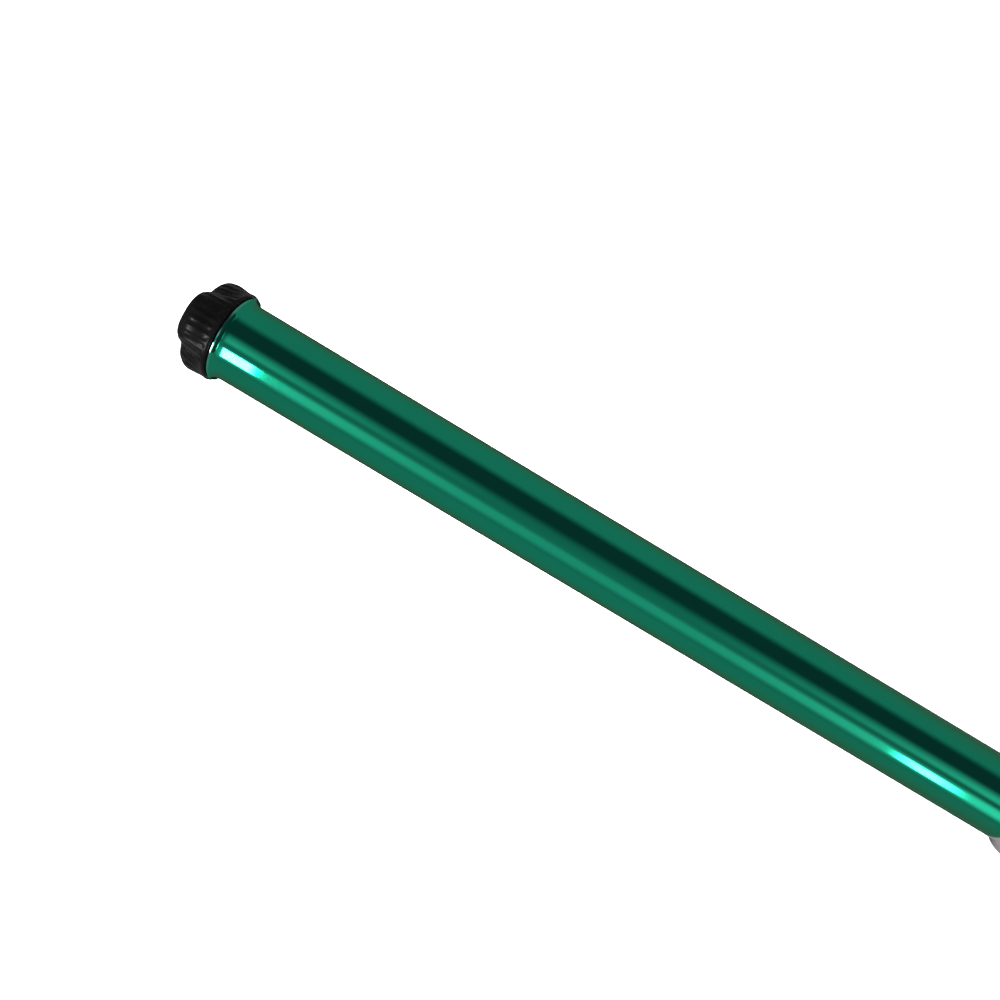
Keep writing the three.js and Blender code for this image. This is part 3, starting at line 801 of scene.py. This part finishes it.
pin = turned("sleeve_pin_body", rounded([  # made along Z, then laid along +X
    (0, 21.4, 0), (2.5, 21.4, 0.2), (3.3, 22.4, 0.3), (3.3, 34.6, 0.0),
    (6.6, 34.6, 0.4), (6.6, 36.6, 0.5), (0, 36.6, 0),
]), 96)
tab = turned("tab", rounded([
    (0, 36.0, 0), (4.6, 36.0, 0), (4.6, 38.6, 1.0), (3.9, 40.8, 1.0), (2.6, 41.9, 0.8), (0, 41.9, 0),
]), 96)
cut(tab, [box_cutter((-9, 2.5, 30), (9, 12, 50)), box_cutter((-9, -12, 30), (9, -2.5, 50))])
ring_hole = reshaped(
    turned("cutter", [(0, -8), (1.95, -8), (1.95, 8), (0, 8)], SMALL),
    Matrix.Translation((0, 0, RING_HOLE_X * MM)) @ Matrix.Rotation(math.pi / 2, 4, "X"),
)
cut(cut(pin, [tab], "UNION"), [ring_hole])
finish(radial(pin, 0.0, PIN_Z), "sleeve_pin")

ring_place = Matrix.Translation((RING_HOLE_X * MM, 0, (PIN_Z - PULL_RING_R) * MM))
pull_ring = reshaped(
    turned("pull_ring_body", round_section(PULL_RING_R, 0.0, PULL_RING_WIRE_R), 96),
    ring_place @ Matrix.Rotation(math.pi / 2, 4, "Y"),
)
finish(pull_ring, "pull_ring")


# ---- drive rod -----------------------------------------------------------------------

ROD_Z = (62.9, 487.0)
ROD_NECK_R = 10.5              # above the shoulder that carries the stop collar
ROD_SHOULDER_Z = 457.0
CIRCLIP_GROOVE_R = 9.2
CIRCLIP_GROOVE_Z = (475.4, 477.6)
rod = turned("drive_rod_body", rounded([
    (0, ROD_Z[0], 0),
    (ROD_R, ROD_Z[0], 0.8),
    (ROD_R, ROD_SHOULDER_Z, 0.6),
    (ROD_NECK_R, ROD_SHOULDER_Z, 0.0),
    (ROD_NECK_R, CIRCLIP_GROOVE_Z[0], 0.0),
    (CIRCLIP_GROOVE_R, CIRCLIP_GROOVE_Z[0], 0.0),
    (CIRCLIP_GROOVE_R, CIRCLIP_GROOVE_Z[1], 0.0),
    (ROD_NECK_R, CIRCLIP_GROOVE_Z[1], 0.0),
    (ROD_NECK_R, ROD_Z[1], 1.4),
    (0, ROD_Z[1], 0),
]), MEDIUM)
cut(rod, [drill(CROSS_PIN_HOLE_R, -32.0, 32.0, math.pi / 2, CROSS_PIN_Z)])
finish(rod, "drive_rod")


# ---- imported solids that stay: finish and shading only --------------------------------

for node, solid in frame["nodes"].items():
    solid.data.materials.clear()
    solid.data.materials.append(MATERIALS[slot_of[node]])
    solid.data.shade_smooth()
    solid.data.set_sharp_from_angle(angle=SHARP)


# ---- camera --------------------------------------------------------------------------

AIM = Vector((-0.00066, 0.0, 0.4811))    # metres
DISTANCE = 0.453
TILT_DOWN = math.radians(2.86)
ROLL = math.radians(59.1)
LENS = 27.4

back = Vector((0, -math.cos(TILT_DOWN), math.sin(TILT_DOWN)))
level_right = Vector((0, 0, 1)).cross(back).normalized()
level_up = back.cross(level_right)
right = level_right * math.cos(ROLL) - level_up * math.sin(ROLL)
up = level_right * math.sin(ROLL) + level_up * math.cos(ROLL)
camera = bpy.data.objects.new("camera", bpy.data.cameras.new("camera"))
bpy.context.scene.collection.objects.link(camera)
camera.data.lens = LENS
camera.data.sensor_width = 36.0
camera.data.clip_start = 0.01
camera.data.clip_end = 50.0
axes = Matrix((right, up, back)).transposed().to_4x4()
camera.matrix_world = Matrix.Translation(AIM + back * DISTANCE) @ axes
bpy.context.scene.camera = camera


# ---- stage and light -----------------------------------------------------------------

PANEL_MIDDLE = 0.17        # metres, as the panels' heights and radii are
PANEL_STEP = 4             # degrees
FLOOR_FLAT_R = 1200        # millimetres, as the rest of the floor is
FLOOR_SWEEP_R = 1000
FLOOR_SWEEP_STEPS = 12
WALL_TOP = 4200
FLOOR_Z = -0.2             # a hair under the object, so that its foot stays clear of the floor
FLOOR_SEGMENTS = 96


def falloff(paint, value, start, end, soft):
    """One between start and end, easing to nought over the soft widths inside the two ends."""
    factor = None
    for edge, width in ((start, soft[0]), (end, -soft[1])):
        if width:
            ease = paint.node(
                "ShaderNodeMapRange",
                {"Value": value, "From Min": edge, "From Max": edge + width, "To Min": 0.0, "To Max": 1.0},
                interpolation_type="SMOOTHSTEP",
            ).outputs["Result"]
            factor = ease if factor is None else paint.maths("MULTIPLY", factor, ease)
    return factor


def softbox(
    name, from_deg, to_deg, low, high, radiance, radius=1.3, rise=0.0, soft=(0, 0), soft_ends=(0, 0)
):
    """An upright curved light panel round the object. Angle 0 is towards -Y, 90 towards +X.

    The radiance holds at PANEL_MIDDLE and grows with the square of the distance from there, by
    rise at one metre. soft is how far it fades in from its two sides, in degrees, and soft_ends
    from its lower and upper end, in metres."""
    steps = max(2, round((to_deg - from_deg) / PANEL_STEP))
    vertices, faces = [], []
    for k in range(steps + 1):
        a = math.radians(from_deg + (to_deg - from_deg) * k / steps)
        for z in (low, high):
            vertices.append((radius / MM * math.sin(a), -radius / MM * math.cos(a), z / MM))
    for k in range(steps):
        faces.append((2 * k, 2 * k + 1, 2 * k + 3, 2 * k + 2))
    panel = build(name, vertices, faces)
    paint = Paint(name)
    paint.tree.nodes.remove(paint.shader)
    place = paint.node("ShaderNodeSeparateXYZ", {"Vector": paint.coords}).outputs
    away = paint.maths("SUBTRACT", place["Z"], PANEL_MIDDLE)
    grown = paint.maths("MULTIPLY", paint.maths("MULTIPLY", away, away), rise)
    strength = paint.maths("ADD", grown, radiance)
    glow = paint.node("ShaderNodeEmission", {"Strength": strength}).outputs["Emission"]
    bearing = paint.maths("ARCTAN2", place["X"], paint.maths("MULTIPLY", place["Y"], -1.0))
    for value, start, end, widths in (
        (bearing, math.radians(from_deg), math.radians(to_deg), [math.radians(w) for w in soft]),
        (place["Z"], low, high, soft_ends),
    ):
        factor = falloff(paint, value, start, end, widths)
        if factor is not None:
            clear = paint.node("ShaderNodeBsdfTransparent").outputs["BSDF"]
            glow = paint.node("ShaderNodeMixShader", {0: factor, 1: clear, 2: glow}).outputs["Shader"]
    paint.tree.links.new(glow, paint.tree.nodes["Material Output"].inputs["Surface"])
    panel.data.materials.append(paint.material)
    panel.visible_camera = False


def studio_floor():
    """A round pale floor that sweeps up into a wall, brighter away from the object."""
    outline = [(FLOOR_FLAT_R, 0)]
    for k in range(1, FLOOR_SWEEP_STEPS + 1):
        t = k / FLOOR_SWEEP_STEPS * math.pi / 2
        outline.append((
            FLOOR_FLAT_R + FLOOR_SWEEP_R * math.sin(t),
            FLOOR_SWEEP_R - FLOOR_SWEEP_R * math.cos(t),
        ))
    outline.append((FLOOR_FLAT_R + FLOOR_SWEEP_R, WALL_TOP))
    vertices, faces = [(0, 0, FLOOR_Z)], []
    for r, z in outline:
        for i in range(FLOOR_SEGMENTS):
            angle = i / FLOOR_SEGMENTS * TAU
            vertices.append((r * math.cos(angle), r * math.sin(angle), z + FLOOR_Z))
    for i in range(FLOOR_SEGMENTS):
        j = (i + 1) % FLOOR_SEGMENTS
        faces.append((0, 1 + i, 1 + j))
        for k in range(len(outline) - 1):
            a, b = 1 + k * FLOOR_SEGMENTS, 1 + (k + 1) * FLOOR_SEGMENTS
            faces.append((a + i, b + i, b + j, a + j))
    floor = build("studio_floor", vertices, faces)
    paint = Paint("studio_floor", Roughness=0.9)
    paint.wire(
        paint.mixed(paint.noise(paint.coords, 3.0, 3.0), (0.87, 0.87, 0.87), (0.9, 0.9, 0.9)), "Base Color"
    )
    reach = paint.node("ShaderNodeVectorMath", {0: paint.coords}, operation="LENGTH").outputs["Value"]
    paint.shader.inputs["Emission Color"].default_value = (1.0, 1.0, 1.0, 1.0)
    paint.wire(paint.remap(reach, 0.25, 0.9, 0.35, 1.0), "Emission Strength")
    floor.data.materials.append(paint.material)
    floor.visible_glossy = False
    floor.visible_shadow = False


studio_floor()
softbox("key_strip", -70, -26, -1.4, 1.5, 0.94, rise=1.12, soft=(20, 16))
softbox("key_top", -60, -33, 1.02, 1.5, 60.0, 1.29, soft=(3, 3), soft_ends=(0.03, 0))
softbox("key_low", -60, -35.5, -0.87, -0.64, 36.0, 1.29, soft=(6, 6), soft_ends=(0.14, 0.12))
softbox("thin_strip", -24, 14, -1.4, 1.5, 0.42, 1.28, rise=0.85, soft=(12, 26))
softbox("left_gap", -44, -13, -1.4, 1.5, 0.47, 1.31, rise=-0.1)
softbox("left_front", -75, -48, -1.4, 1.8, 0.5, 1.32)
softbox("right_wall", 42, 150, -1.4, 1.8, 0.55, soft=(24, 0))
softbox("left_wall", -150, -75, -1.4, 1.8, 0.55)
softbox("back_strip", 168, 192, -1.4, 1.8, 1.6)

sun = bpy.data.objects.new("sun", bpy.data.lights.new("sun", "SUN"))
bpy.context.scene.collection.objects.link(sun)
sun.data.energy = 2.2
sun.data.angle = math.radians(35)
sun.rotation_euler = (math.radians(28), math.radians(-18), 0)
sun.visible_glossy = False

world = bpy.data.worlds.new("studio")
world.use_nodes = True
world.node_tree.nodes["Background"].inputs["Color"].default_value = (0.1, 0.1, 0.125, 1.0)
bpy.context.scene.world = world
bpy.context.scene.view_settings.view_transform = "Standard"
bpy.context.scene.view_settings.look = "None"
